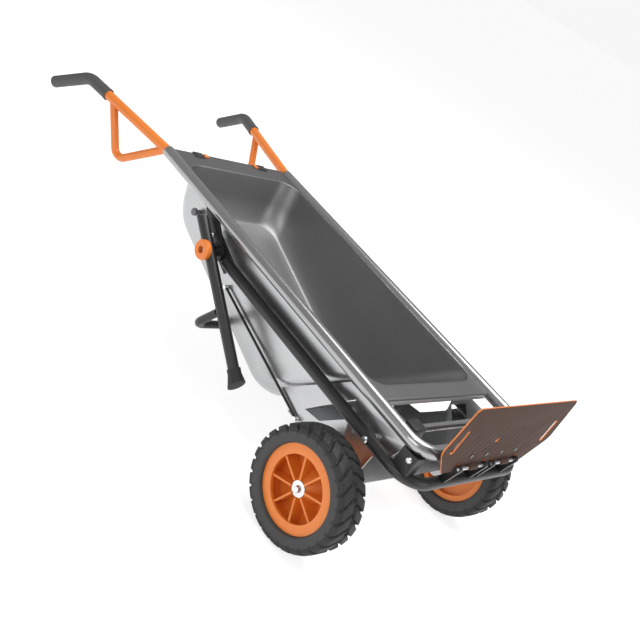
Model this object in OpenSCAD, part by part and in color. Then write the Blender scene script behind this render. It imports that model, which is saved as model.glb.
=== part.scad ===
// Two-wheeled folding yard cart: a pressed steel tub hung between two rails,
// on a lower U-shaped frame with folding legs and a hinged toe plate.
// The cart is drawn with its rails level: +X to the nose, +Y to the left, +Z up,
// and placed() then tips it onto the floor as it stands on its wheels and legs.

/* [Overall] */
// Length of the straight part of each rail
rail_len = 940; // [800:5:1100]
// Distance between the centres of the two rails
rail_spacing = 406; // [360:2:460]
// Nose-down pitch of the rails when the cart stands on its legs
rail_pitch = 3; // [2:0.25:3.5]

/* [Tubes] */
// Outer diameter of the rails
rail_d = 28.6; // [25:0.2:34]
// Radial clearance of the handle tubes where they plug into the rails
handle_fit = 0.7; // [0.3:0.1:2]
// Outer diameter of the lower frame tube
frame_d = 25.4; // [22:0.2:32]
// Outer diameter of the leg tubes
leg_d = 25.4; // [22:0.2:30]
// Outer diameter of the cross hoop between the legs
hoop_d = 19; // [16:0.5:22]
// Wall of every tube
tube_wall = 1.6; // [1.2:0.1:2.4]

/* [Tub] */
// Gap from the rear end of the rails to the opening of the tub
tub_rear_margin = 48; // [30:1:70]
// Length of the opening of the tub
tub_open_len = 757; // [600:5:900]
// Width of the opening of the tub
tub_open_w = 370; // [300:2:400]
// Depth of the tub at its rear end
tub_rear_depth = 111; // [80:1:160]
// Depth of the tub at its front end
tub_front_depth = 250; // [200:1:280]
// Width of the floor of the tub
tub_floor_w = 350; // [260:2:356]
// Thickness of the sheet of the tub
tub_wall = 1.5; // [1.2:0.1:2.5]

/* [Handles] */
// Distance from the rail end back to the start of each grip
handle_len = 236; // [180:2:300]
// Outward angle of each handle
handle_flare = 11.5; // [5:0.5:15]
// Downward angle of the end of each grip
grip_drop = 37; // [20:1:50]
// Length of the drooping end of each grip
grip_end_len = 132; // [100:2:150]
// Outer diameter of the grips
grip_d = 31; // [28:0.5:36]
// Depth of the loop under each handle
loop_depth = 96; // [80:2:120]

/* [Wheels] */
// Outer diameter of the tyres
wheel_d = 254; // [220:2:300]
// Width of the tyres
tyre_w = 71; // [50:1:80]
// Outer diameter of the rims
rim_d = 178; // [150:2:190]
// Gap from the centre line of each rail out to its tyre
wheel_gap = 33; // [28:1:50]
// Distance of the axle ahead of the rear end of the rails
axle_x = 865; // [780:5:900]
// Drop of the axle below the rails
axle_drop = 209; // [190:1:230]
// Diameter of the axle
axle_d = 16; // [12:0.5:20]
// Number of spokes in each rim
spokes = 8; // [6:1:10]

/* [Legs] */
// Rearward lean of the lowered legs, which are cut to reach the floor
leg_lean = 13.6; // [5:0.1:20]
// Length of each leg above its pivot
leg_head = 86; // [60:1:90]
// Angle of the folded legs below the rails
leg_fold_angle = 31; // [25:1:40]
// Diameter of the leg pivot bolts
pivot_d = 10; // [8:0.5:12]
// Diameter of the locking knobs
knob_d = 46; // [36:1:50]

/* [Toe plate] */
// Width of the toe plate
plate_w = 404; // [340:2:440]
// Height of the toe plate above its hinge
plate_h = 158; // [120:2:180]
// Thickness of the toe plate
plate_t = 3; // [2:0.2:5]
// Diameter of the hinge pins
hinge_d = 7; // [6:0.5:9]
// Diameter of the strap hole in the toe plate
strap_hole_d = 11; // [8:0.5:14]

/* [Fits] */
// Radial clearance of running fits
run_fit = 0.06; // [0.03:0.01:0.1]
// Gap between pieces that are fixed together
seat_gap = 0.2; // [0.1:0.05:0.4]
// Side gap between pieces that move past each other
side_gap = 0.5; // [0.3:0.1:1]

/* [Hidden] */
$fn = 48;

rail_y = rail_spacing / 2;
rail_r = rail_d / 2;
frame_r = frame_d / 2;
leg_r = leg_d / 2;
handle_d = rail_d - 2 * tube_wall - 2 * handle_fit;

// Nose of the rails and of the lower frame
rail_bend_r = 45;
nose_x = rail_len + rail_bend_r;
frame_z = -70;
frame_nose_x = nose_x + 16;
frame_bend_r = 62;
frame_kink_x = 335;
frame_kink_angle = 17;
frame_end_len = 93;
flat_t = 6;
flat_w = 36;

// Wheels
axle_z = -axle_drop;
wheel_r = wheel_d / 2;
wheel_y = rail_y + wheel_gap + tyre_w / 2;
bracket_y = rail_y - 27;
bracket_t = 3;
bush_wall = 3;
hub_r = axle_d / 2 + bush_wall + 6;
hub_y0 = wheel_y - 39.5;
hub_y1 = wheel_y + 18.5;

// Leg pivot and the pieces stacked along it
pivot = [300, -66];
leg_y = rail_y + rail_r + 2 + leg_r;
hanger_t = 5;
hanger_y = rail_y + 2;
spacer_d = 22;
spacer_y = leg_y - leg_r - side_gap;
lock_offset = 15;
lock_pin_d = 5;
groove_w = lock_pin_d + 1;
groove_depth = 2.6;
bolt_head_y = leg_y + leg_r + side_gap;
bolt_head_t = 4.8;
bolt_head_d = 16;
knob_y = leg_y + leg_r + 0.4;
knob_t = 13;
knob_bevel = 3;
pin_cover = 5;
foot_h = 24;
hoop_at = 140;
hoop_drop = 96;
hoop_bend_r = 30;

// Toe plate hinge
hinge_x = nose_x + rail_r + 17.4;
hinge_z = -17;
knuckle_r = hinge_d / 2 + 2.6;
plate_back_x = hinge_x - knuckle_r - plate_t + 0.4;
plate_skirt = 13;

// Floor placing: the wheels touch z = 0
place_z = wheel_r + axle_x * sin(rail_pitch) + axle_drop * cos(rail_pitch);
grip_bend_len = 75;
grip_tip = [
    -(handle_len + grip_bend_len + grip_end_len * cos(grip_drop)) * cos(handle_flare),
    -grip_end_len * sin(grip_drop)
];
grip_edge = grip_d / 2 * sin(grip_drop - rail_pitch) * cos(handle_flare);
back_x = grip_tip[0] * cos(rail_pitch) + grip_tip[1] * sin(rail_pitch) - grip_edge;
front_x = hinge_x * cos(rail_pitch) + hinge_z * sin(rail_pitch) + knuckle_r;
place_x = -(back_x + front_x) / 2;

// Length of the legs from pivot to sole, from the height of their pivot above the floor
pivot_floor = place_z - pivot[0] * sin(rail_pitch) + pivot[1] * cos(rail_pitch);
leg_reach = pivot_floor / cos(leg_lean);

module placed() {
    translate([place_x, 0, place_z]) rotate([0, rail_pitch, 0]) children();
}

module both_sides() {
    children();
    mirror([0, 1, 0]) children();
}

// A round bar along X from x0 to x1
module bar_x(d, x0, x1) {
    translate([x0, 0, 0]) rotate([0, 90, 0]) cylinder(d = d, h = x1 - x0);
}

// A round bar along Y from y0 to y1
module bar_y(d, y0, y1) {
    translate([0, y0, 0]) rotate([-90, 0, 0]) cylinder(d = d, h = y1 - y0);
}

// A tube along X from x0 to x1
module tube_x(d, x0, x1) {
    difference() {
        bar_x(d, x0, x1);
        bar_x(d - 2 * tube_wall, x0 - 1, x1 + 1);
    }
}

// A tube bend that starts along +X at the origin and turns square to +Y
module square_bend(d, r) {
    translate([0, r, 0]) rotate([0, 0, -90]) rotate_extrude(angle = 90) translate([r, 0]) difference() {
        circle(d = d);
        circle(d = d - 2 * tube_wall);
    }
}

// The outline of a plate in the side view, thickened along Y from y0
module side_plate(y0, t) {
    translate([0, y0 + t, 0]) rotate([90, 0, 0]) linear_extrude(t) children();
}

// Points [x, y, heading] along straight runs [0, length] and bends [angle, radius]
// in the XY plane, from the origin along +X; a positive angle turns to +Y
bend_step = 9;
function step_pts(step, p) = step[0] == 0
    ? [[p[0] + step[1] * cos(p[2]), p[1] + step[1] * sin(p[2]), p[2]]]
    : let (n = ceil(abs(step[0]) / bend_step), r = sign(step[0]) * step[1])
        [for (k = [1 : n])
            let (h = p[2] + step[0] * k / n)
            [p[0] + r * (sin(h) - sin(p[2])), p[1] - r * (cos(h) - cos(p[2])), h]];

function run_pts(steps, p = [0, 0, 0], i = 0) = i == len(steps)
    ? [p]
    : let (q = step_pts(steps[i], p)) concat([p], [for (k = [0 : len(q) - 2]) if (len(q) > 1) q[k]],
        run_pts(steps, q[len(q) - 1], i + 1));

// A solid round bar swept along such a path
module bar_run(d, steps, sides = 24) {
    path = run_pts(steps);
    m = len(path);
    polyhedron(
        points = [for (p = path, k = [0 : sides - 1])
            let (t = 360 * k / sides)
            [p[0] - d / 2 * cos(t) * sin(p[2]), p[1] + d / 2 * cos(t) * cos(p[2]), d / 2 * sin(t)]],
        faces = concat(
            [[for (j = [0 : sides - 1]) j]],
            [[for (j = [0 : sides - 1]) m * sides - 1 - j]],
            [for (i = [0 : m - 2], j = [0 : sides - 1])
                [i * sides + j, (i + 1) * sides + j, (i + 1) * sides + (j + 1) % sides]],
            [for (i = [0 : m - 2], j = [0 : sides - 1])
                [i * sides + j, (i + 1) * sides + (j + 1) % sides, i * sides + (j + 1) % sides]]
        )
    );
}

// ---- Tub: rings of a rounded rectangle, from the rim down to the sloping floor ----
tub_top = 4;
tub_rear_in = 18;
tub_front_in = 213;
tub_fillet = 22;
rim_corner_r = 48;
floor_corner_r = 62;
corner_steps = 7;
side_steps = 5;
wall_share = 0.5;
wall_rings = 4;
fillet_rings = 6;
tub_x0 = tub_rear_margin;
tub_x1 = tub_rear_margin + tub_open_len;
floor_x0 = tub_x0 + tub_rear_in;
floor_x1 = tub_x1 - tub_front_in;
tub_side_in = (tub_open_w - tub_floor_w) / 2;

function mix(a, b, t) = a + (b - a) * t;

function floor_depth(x) =
    mix(tub_rear_depth, tub_front_depth, min(1, max(0, (x - floor_x0) / (floor_x1 - floor_x0))));

// Points of a rounded rectangle, anticlockwise from above, with more along its sides
function rounded_ring(x0, x1, w, r) = [
    for (corner = [0 : 3], k = [0 : corner_steps + side_steps])
        let (
            a = corner * 90 + 90 * min(1, k / corner_steps),
            run = max(0, k - corner_steps) / (side_steps + 1) * (corner % 2 == 0 ? 1 : 0),
            way = corner == 0 ? -run : run,
            cx = (corner == 0 || corner == 3) ? x1 - r : x0 + r,
            cy = corner < 2 ? w - r : r - w
        )
        if (k <= corner_steps || run > 0)
            [cx + r * cos(a) + way * (x1 - x0 - 2 * r), cy + r * sin(a)]
];

// One ring of the tub at depth share d with the floor inset e, shrunk by the sheet t
function tub_ring(d, e, t) = [
    for (p = rounded_ring(
        tub_x0 + tub_rear_in * d + e + t,
        tub_x1 - tub_front_in * d - e - t,
        tub_open_w / 2 - tub_side_in * d - e - t,
        mix(rim_corner_r, floor_corner_r, d) - e * 0.5 - t))
        [p[0], p[1], -d * (floor_depth(p[0]) - t)]
];

function tub_rings(t, top) = concat(
    [[for (p = tub_ring(0, 0, t)) [p[0], p[1], top]]],
    [for (i = [0 : wall_rings]) tub_ring(wall_share * i / wall_rings, 0, t)],
    [for (i = [1 : fillet_rings])
        let (a = 90 * i / fillet_rings)
        tub_ring(wall_share + (1 - wall_share) * sin(a), tub_fillet * (1 - cos(a)), t)]
);

module tub_loft(t, top) {
    rings = tub_rings(t, top);
    n = len(rings[0]);
    m = len(rings);
    polyhedron(
        points = [for (ring = rings, p = ring) p],
        faces = concat(
            [[for (j = [0 : n - 1]) n - 1 - j]],
            [[for (j = [0 : n - 1]) (m - 1) * n + j]],
            [for (i = [0 : m - 2], j = [0 : n - 1])
                [i * n + j, i * n + (j + 1) % n, (i + 1) * n + (j + 1) % n]],
            [for (i = [0 : m - 2], j = [0 : n - 1]) [i * n + j, (i + 1) * n + (j + 1) % n, (i + 1) * n + j]]
        )
    );
}

flange_y = rail_y - rail_r - seat_gap;
flange_x0 = -12;
flange_x1 = tub_x1 + 44;
flange_lip = 14;

module tub() {
    color("silver") placed() difference() {
        union() {
            translate([flange_x0, -flange_y, tub_top - tub_wall])
                cube([flange_x1 - flange_x0, 2 * flange_y, tub_wall]);
            translate([flange_x1 - tub_wall, -flange_y, tub_top - flange_lip])
                cube([tub_wall, 2 * flange_y, flange_lip]);
            translate([flange_x0, -flange_y, tub_top - flange_lip])
                cube([tub_wall, 2 * flange_y, flange_lip]);
            tub_loft(0, tub_top);
        }
        tub_loft(tub_wall, tub_top + 1);
    }
}

// ---- Rails ----
module rail() {
    color("silver") placed() translate([0, -rail_y, 0]) {
        tube_x(rail_d, 0, rail_len);
        translate([rail_len, 0, 0]) square_bend(rail_d, rail_bend_r);
    }
}

module rail_right() {
    rail();
}

module rail_left() {
    mirror([0, 1, 0]) rail();
}

module nose_tube() {
    half = rail_y - rail_bend_r - seat_gap;
    color("silver") placed() translate([nose_x, 0, 0]) difference() {
        bar_y(rail_d, -half, half);
        bar_y(rail_d - 2 * tube_wall, -half - 1, half + 1);
    }
}

// ---- Handles ----
handle_plug = 55;
flare_r = 50;
grip_bend_r = 55;
loop_d = 20;
loop_top = [215, 0];
loop_foot = [7, 0];
loop_low = [129, -loop_depth - 20];
loop_bend_r = 26;

// Places children at the rear end of the right rail, heading back along the flared handle
module on_handle() {
    translate([0, -rail_y, 0]) rotate([0, 0, 180 + handle_flare]) rotate([90, 0, 0]) children();
}

grip_cap = 8;
weld_lap = 2;
grip_turn = grip_bend_r * tan(grip_drop / 2);
handle_steps = [
    [0, handle_len + grip_bend_len - grip_turn],
    [-grip_drop, grip_bend_r],
    [0, grip_end_len - grip_turn - grip_cap]
];

function handle_bore_steps(cut) = [
    [0, handle_steps[0][1] - cut],
    handle_steps[1],
    [0, handle_steps[2][1] + 1]
];

// Path of the loop from its rear weld down, round and forward to its front weld
module loop_bar(d) {
    down = [loop_low[0] - loop_top[0], loop_low[1] - loop_top[1]];
    up = [loop_foot[0] - loop_low[0], loop_foot[1] - loop_low[1]];
    a0 = atan2(down[1], down[0]);
    turn = atan2(up[1], up[0]) - a0 - 360;
    cut = loop_bend_r * tan(abs(turn) / 2);
    translate([loop_top[0], loop_top[1], 0]) rotate([0, 0, a0])
        bar_run(d, [[0, norm(down) - cut], [turn, loop_bend_r], [0, norm(up) - cut]]);
}

module handle() {
    flare_cut = flare_r * tan(handle_flare / 2);
    stub = [[0, handle_plug - flare_cut], [handle_flare, flare_r], [0, weld_lap]];
    color("darkorange") placed() difference() {
        union() {
            translate([handle_plug, -rail_y, 0]) rotate([0, 0, 180]) bar_run(handle_d + 0.1, stub);
            on_handle() difference() {
                union() {
                    bar_run(handle_d, handle_steps);
                    loop_bar(loop_d);
                }
                translate([-handle_d, -handle_d, -handle_d])
                    cube([handle_d + flare_cut, 2 * handle_d, 2 * handle_d]);
            }
        }
        translate([0, -rail_y, 0]) bar_x(handle_d - 2 * tube_wall, 2 * flare_cut, handle_plug + 1);
        on_handle() translate([2 * flare_cut, 0, 0])
            bar_run(handle_d - 2 * tube_wall, handle_bore_steps(2 * flare_cut));
    }
}

module handle_right() {
    handle();
}

module handle_left() {
    mirror([0, 1, 0]) handle();
}

module grip() {
    sleeve = [
        [0, grip_bend_len - grip_turn],
        [-grip_drop, grip_bend_r],
        [0, grip_end_len - grip_turn]
    ];
    color("dimgray") placed() on_handle() difference() {
        translate([handle_len, 0, 0]) bar_run(grip_d, sleeve);
        bar_run(handle_d + 2 * seat_gap, handle_bore_steps(0));
    }
}

module grip_right() {
    grip();
}

module grip_left() {
    mirror([0, 1, 0]) grip();
}

// ---- Small pieces on the tub ----
clip_y = 108;
clip_w = 28;
clip_t = 2;
clip_reach = 22;

module rear_clips() {
    color("dimgray") placed() both_sides()
        translate([flange_x0 - seat_gap, clip_y - clip_w / 2, tub_top + seat_gap]) {
        translate([-clip_t, 0, -clip_reach]) cube([clip_t, clip_w, clip_reach + clip_t]);
        translate([-clip_t, 0, 0]) cube([clip_reach, clip_w, clip_t]);
    }
}

module clip_tabs() {
    tab = [14, 12, 3];
    color("darkorange") placed() both_sides()
        translate([flange_x0 + 2, clip_y - clip_w / 2 - tab[1] - 2, tub_top + seat_gap]) cube(tab);
}

// Inset of the tub wall at depth share d, where it curves into the floor
function fillet_inset(d) = d <= wall_share
    ? 0
    : tub_fillet * (1 - sqrt(1 - pow((d - wall_share) / (1 - wall_share), 2)));

// Half width of the tub outside at x and height z
function tub_half(x, z) = tub_open_w / 2 + tub_side_in * z / floor_depth(x)
    - fillet_inset(min(1, -z / floor_depth(x)));

// A stud that stands out sideways from the tub wall at x and z
module wall_stud(x, z, d, y1) {
    y0 = tub_half(x, z + d / 2) + 3 * seat_gap;
    translate([x, 0, z]) bar_y(d, y0, y1);
}

strap_stud = [165, -55];
strap_stud_d = 18;
strap_stud_end = rail_y - 5;
strap_groove = [strap_stud_end - 16, strap_stud_end - 6];
strap_groove_d = 11;

module strap_studs() {
    color("dimgray") placed() both_sides() difference() {
        wall_stud(strap_stud[0], strap_stud[1], strap_stud_d, strap_stud_end);
        translate([strap_stud[0], 0, strap_stud[1]]) difference() {
            bar_y(strap_stud_d + 2, strap_groove[0], strap_groove[1]);
            bar_y(strap_groove_d, strap_groove[0] - 1, strap_groove[1] + 1);
        }
    }
}

// ---- Leg hangers, pivot bolts and lower frame ----
hanger_x = [205, 262];
hanger_r = 22;
nut_d = 17;
nut_t = 6;
end_bolt_d = 8;
end_plate_y = hanger_y - seat_gap - flat_t;
end_bolt_at = frame_end_len - flat_w / 2;
end_bolt = [
    frame_kink_x - end_bolt_at * cos(frame_kink_angle),
    frame_z + end_bolt_at * sin(frame_kink_angle)
];

module at_side(p) {
    translate([p[0], 0, p[1]]) children();
}

module leg_hanger() {
    top = -rail_r - 0.1;
    a = atan2(pivot[1] - top, pivot[0] - hanger_x[0]);
    b = atan2(pivot[1] - top, pivot[0] - hanger_x[1]);
    color("dimgray") placed() mirror([0, 1, 0]) difference() {
        union() {
            side_plate(hanger_y, hanger_t) union() {
                polygon([
                    [hanger_x[0], top],
                    [hanger_x[1], top],
                    pivot + hanger_r * [cos(b + 90), sin(b + 90)],
                    pivot,
                    pivot + hanger_r * [cos(a - 90), sin(a - 90)]
                ]);
                translate(pivot) circle(hanger_r);
            }
            at_side(pivot) bar_y(spacer_d, hanger_y + 1, spacer_y);
        }
        at_side(pivot) bar_y(pivot_d + 2 * seat_gap, hanger_y - 1, spacer_y + 1);
        at_side(end_bolt) bar_y(end_bolt_d + 2 * seat_gap, hanger_y - 1, spacer_y + 1);
        at_side(pivot) difference() {
            bar_y(2 * lock_offset + groove_w, hanger_y + hanger_t - groove_depth, spacer_y - 2);
            bar_y(2 * lock_offset - groove_w, hanger_y, spacer_y + 1);
        }
    }
}

module leg_hanger_right() {
    leg_hanger();
}

module leg_hanger_left() {
    mirror([0, 1, 0]) leg_hanger();
}

// A bolt along Y: shank from y0 to y1, a domed head past y1 and a nut before y0
module cross_bolt(d, y0, y1, head_d, head_t) {
    bar_y(d, y0 - nut_t - 1, y1 + 1);
    translate([0, y1, 0]) rotate([-90, 0, 0]) cylinder(d1 = head_d, d2 = head_d * 0.7, h = head_t);
    translate([0, y0, 0]) rotate([90, 0, 0]) cylinder(d = nut_d * d / pivot_d, h = nut_t, $fn = 6);
}

module pivot_bolts() {
    color("silver") placed() both_sides() at_side(pivot)
        cross_bolt(pivot_d, end_plate_y - seat_gap, bolt_head_y, bolt_head_d, bolt_head_t);
}

module frame_end_bolts() {
    color("silver") placed() both_sides() at_side(end_bolt)
        cross_bolt(end_bolt_d, end_plate_y - seat_gap, hanger_y + hanger_t + seat_gap, 13, 4);
}

module lower_frame() {
    color("dimgray") placed() difference() {
        union() {
            for (side = [0, 1]) mirror([0, side, 0]) translate([0, -rail_y, frame_z]) {
                tube_x(frame_d, frame_kink_x, frame_nose_x - frame_bend_r);
                translate([frame_nose_x - frame_bend_r, 0, 0]) square_bend(frame_d, frame_bend_r);
            }
            translate([frame_nose_x, 0, frame_z]) difference() {
                bar_y(frame_d, frame_bend_r - rail_y, rail_y - frame_bend_r);
                bar_y(frame_d - 2 * tube_wall, -rail_y, rail_y);
            }
            both_sides() translate([frame_kink_x, end_plate_y, frame_z]) rotate([0, frame_kink_angle, 0]) {
                translate([-end_bolt_at, 0, -flat_w / 2]) cube([end_bolt_at + flat_w / 2, flat_t, flat_w]);
                translate([-end_bolt_at, 0, 0]) bar_y(flat_w, 0, flat_t);
            }
        }
        both_sides() at_side(pivot) bar_y(pivot_d + 2 * seat_gap, end_plate_y - 1, end_plate_y + flat_t + 1);
        both_sides() at_side(end_bolt)
            bar_y(end_bolt_d + 2 * seat_gap, end_plate_y - 1, end_plate_y + flat_t + 1);
        both_sides() at_side(arm_bolt) bar_y(end_bolt_d + 2 * seat_gap, rail_y - frame_d, rail_y + frame_d);
    }
}

// ---- Blocks that join rails and lower frame at the nose ----
block_x = rail_len + 5;
block_len = 40;
block_y = rail_y - 20;
block_w = 26;
block_bolt = [block_x + 26, -28];

module nose_block() {
    top = -rail_r - seat_gap;
    bottom = frame_z + frame_r + seat_gap;
    color("dimgray") placed() mirror([0, 1, 0]) difference() {
        translate([block_x, block_y, bottom]) cube([block_len, block_w, top - bottom]);
        at_side(block_bolt) bar_y(end_bolt_d + 2 * seat_gap, block_y - 1, block_y + block_w + 1);
    }
}

module nose_block_right() {
    nose_block();
}

module nose_block_left() {
    mirror([0, 1, 0]) nose_block();
}

module nose_bolts() {
    color("silver") placed() both_sides() at_side(block_bolt)
        cross_bolt(end_bolt_d, block_y - seat_gap, block_y + block_w + seat_gap, 14, 4);
}

// ---- Axle brackets, saddle plate and brace rods ----
arm_bolt = [axle_x + 11, frame_z];
bracket_boss_r = 24;
bracket_spacer_d = 18;
bracket_outline = [
    [axle_x - 239, axle_z + 35], [axle_x - 108, -33], [axle_x + 69, -25], [axle_x + 69, -40],
    [axle_x + 59, -74], [axle_x + 27, -105], [axle_x + 20, axle_z - 20], [axle_x - 161, axle_z + 9]
];
bracket_window_low = [
    [axle_x - 160, axle_z + 49], [axle_x - 75, -50], [axle_x - 65, -95], [axle_x - 115, axle_z + 59]
];
bracket_window_high = [[axle_x - 65, -77], [axle_x - 38, -47], [axle_x - 15, -70], [axle_x - 39, -106]];
brace_front = [axle_x - 162, axle_z + 19];
brace_rear = [355, -123];
brace_d = 6;
brace_stud_d = 10;
brace_y = bracket_y + bracket_t + 5;

module axle_bracket() {
    color("silver") placed() mirror([0, 1, 0]) difference() {
        union() {
            side_plate(bracket_y, bracket_t) difference() {
                union() {
                    polygon(bracket_outline);
                    translate([axle_x, axle_z]) circle(bracket_boss_r);
                }
                polygon(bracket_window_low);
                polygon(bracket_window_high);
            }
            at_side(arm_bolt) bar_y(bracket_spacer_d, bracket_y, rail_y - frame_r - seat_gap);
        }
        translate([axle_x, 0, axle_z]) bar_y(axle_d + 2 * seat_gap, bracket_y - 1, bracket_y + 9);
        at_side(arm_bolt) bar_y(end_bolt_d + 2 * seat_gap, bracket_y - 1, rail_y);
        at_side(brace_front) bar_y(brace_stud_d / 2 + 2 * seat_gap, bracket_y - 1, bracket_y + 9);
    }
}

module axle_bracket_right() {
    axle_bracket();
}

module axle_bracket_left() {
    mirror([0, 1, 0]) axle_bracket();
}

module bracket_bolts() {
    color("silver") placed() both_sides() at_side(arm_bolt)
        cross_bolt(end_bolt_d, bracket_y - seat_gap, rail_y + frame_r + seat_gap, 14, 4);
}

saddle_t = 2;
saddle_axle_gap = 1;
saddle_foot = [axle_x - 197, axle_z + axle_d / 2 + saddle_axle_gap];
saddle_head = [axle_x - 65, -40];
saddle_front = axle_x + 20;

// The bent sheet in side view: a level floor and a slope that carries the front of the tub
function saddle_profile() =
    let (
        slope = atan2(saddle_head[1] - saddle_foot[1], saddle_head[0] - saddle_foot[0]),
        off = saddle_t * [sin(slope), -cos(slope)],
        inner = saddle_foot + saddle_t * [(1 + cos(slope)) / sin(slope), 1]
    )
    [
        saddle_foot, [saddle_front, saddle_foot[1]], [saddle_front, inner[1]],
        inner, saddle_head + off, saddle_head
    ];

module saddle_plate() {
    half = bracket_y - seat_gap;
    color("silver") placed() side_plate(-half, 2 * half) polygon(saddle_profile());
}

module brace_rod() {
    run = [brace_front[0] - brace_rear[0], brace_front[1] - brace_rear[1]];
    color("dimgray") placed() mirror([0, 1, 0]) difference() {
        translate([brace_rear[0], brace_y, brace_rear[1]]) rotate([0, -atan2(run[1], run[0]), 0])
            bar_x(brace_d, 0, norm(run));
        at_side(brace_rear) bar_y(brace_stud_d + 2 * seat_gap, brace_y - brace_d, brace_y + brace_d);
        at_side(brace_front) bar_y(brace_stud_d + 2 * seat_gap, brace_y - brace_d, brace_y + brace_d);
    }
}

module brace_rod_right() {
    brace_rod();
}

module brace_rod_left() {
    mirror([0, 1, 0]) brace_rod();
}

module brace_studs() {
    color("silver") placed() both_sides() {
        wall_stud(brace_rear[0], brace_rear[1], brace_stud_d, brace_y + brace_d);
        at_side(brace_front) bar_y(brace_stud_d, bracket_y + bracket_t + seat_gap, brace_y + brace_d);
        at_side(brace_front) bar_y(brace_stud_d / 2, bracket_y - 2, bracket_y + bracket_t + 1);
    }
}

// ---- Axle ----
collar_t = 5;
axle_end = hub_y1 + 0.4;
washer_t = 2.5;
washer_d = 34;
axle_bolt_d = 8;
axle_bolt_len = 30;

module axle() {
    color("silver") placed() translate([axle_x, 0, axle_z]) difference() {
        union() {
            bar_y(axle_d, -axle_end, axle_end);
            both_sides() bar_y(axle_d + 8, hub_y0 - side_gap - collar_t, hub_y0 - side_gap);
        }
        both_sides() bar_y(axle_bolt_d + 2 * seat_gap, axle_end - axle_bolt_len, axle_end + 1);
    }
}

module axle_washers() {
    color("whitesmoke") placed() translate([axle_x, 0, axle_z]) both_sides() difference() {
        bar_y(washer_d, axle_end + seat_gap, axle_end + seat_gap + washer_t);
        bar_y(axle_bolt_d + 2 * seat_gap, axle_end, axle_end + washer_t + 1);
    }
}

module axle_bolts() {
    head_y = axle_end + washer_t + 2 * seat_gap;
    color("silver") placed() translate([axle_x, 0, axle_z]) both_sides() {
        bar_y(axle_bolt_d, axle_end - axle_bolt_len + 2, head_y + 1);
        translate([0, head_y, 0]) rotate([-90, 0, 0]) cylinder(d1 = 16, d2 = 11, h = 6);
    }
}

// ---- Cross tube between the rails ahead of the tub ----
cross_x = rail_len - 14;
cross_z = 5;
cross_d = 16;
clamp = [28, 36, 24];
clamp_y = rail_y - 43;

module front_cross_tube() {
    half = rail_y - rail_r - 3;
    color("silver") placed() translate([cross_x, 0, cross_z]) difference() {
        bar_y(cross_d, -half, half);
        bar_y(cross_d - 2 * tube_wall, -half - 1, half + 1);
    }
}

module cross_clamps() {
    color("dimgray") placed() both_sides() difference() {
        translate([cross_x - clamp[0] / 2, clamp_y, cross_z - clamp[2] / 2]) cube(clamp);
        translate([0, rail_y, 0]) bar_x(rail_d + 2 * seat_gap, cross_x - 50, cross_x + 50);
        translate([cross_x, 0, cross_z]) bar_y(cross_d + 2 * seat_gap, clamp_y - 1, rail_y);
    }
}

// ---- Toe plate and its hinge ----
lug_ys = [10, 102];
lug_t = 8;
lug_r = 7;
pin_y = [10, 110];
knuckle_y = [45, 73];
plate_foot_w = plate_w - 114;
slot_y = plate_w / 2 - 32;
slot_z = [48, 96];
slot_w = 12;
strap_hole = [-30, 65];
rivet_ys = [28, 83];
rivet_z = 27;
rivet_d = 5;

module hinge_lugs() {
    color("dimgray") placed() for (y = lug_ys, side = [0, 1]) mirror([0, side, 0]) difference() {
        side_plate(y, lug_t) union() {
            polygon([
                [frame_nose_x - 9, frame_z + 4],
                [frame_nose_x + 9, frame_z + 4],
                [hinge_x + lug_r, hinge_z],
                [hinge_x - lug_r, hinge_z]
            ]);
            translate([hinge_x, hinge_z]) circle(lug_r);
        }
        translate([frame_nose_x, 0, frame_z]) bar_y(frame_d + 2 * seat_gap, y - 1, y + lug_t + 1);
        translate([hinge_x, 0, hinge_z]) bar_y(hinge_d + 2 * seat_gap, y - 1, y + lug_t + 1);
    }
}

module hinge_pins() {
    color("silver") placed() translate([hinge_x, 0, hinge_z]) both_sides() bar_y(hinge_d, pin_y[0], pin_y[1]);
}

module toe_outline() {
    half = [
        [-plate_foot_w / 2, -plate_skirt],
        [-plate_w / 2 + 37, 7],
        [-plate_w / 2 + 4, 42],
        [-plate_w / 2, 55],
        [-plate_w / 2 + 10, plate_h - 8],
        [-plate_w / 2 + 18, plate_h]
    ];
    polygon(concat(half, [for (k = [len(half) - 1 : -1 : 0]) [-half[k][0], half[k][1]]]));
}

module toe_slot() {
    for (z = slot_z) translate([slot_y, z]) circle(d = slot_w);
    translate([slot_y - slot_w / 2, slot_z[0]]) square([slot_w, slot_z[1] - slot_z[0]]);
}

module toe_plate() {
    notch = lug_t + 2 * side_gap + 0.6;
    color("sienna") placed() translate([0, 0, hinge_z]) difference() {
        union() {
            translate([plate_back_x, 0, 0]) rotate([90, 0, 90]) linear_extrude(plate_t) difference() {
                toe_outline();
                toe_slot();
                mirror([1, 0]) toe_slot();
                translate(strap_hole) circle(d = strap_hole_d);
                for (y = lug_ys, side = [0, 1]) mirror([side, 0])
                    translate([y + lug_t / 2 - notch / 2, -plate_skirt - 1]) square([notch, plate_skirt + 11]);
                for (y = rivet_ys, side = [-1, 1])
                    translate([side * y, rivet_z]) circle(d = rivet_d + 2 * seat_gap);
            }
            both_sides() {
                translate([hinge_x, 0, 0]) bar_y(2 * knuckle_r, knuckle_y[0], knuckle_y[1]);
                translate([plate_back_x + 1, knuckle_y[0], -knuckle_r + 1])
                    cube([hinge_x - plate_back_x - 1, knuckle_y[1] - knuckle_y[0], 2 * knuckle_r - 2]);
            }
        }
        translate([hinge_x, 0, 0]) bar_y(hinge_d + 2 * run_fit, -knuckle_y[1] - 1, knuckle_y[1] + 1);
    }
}

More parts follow.
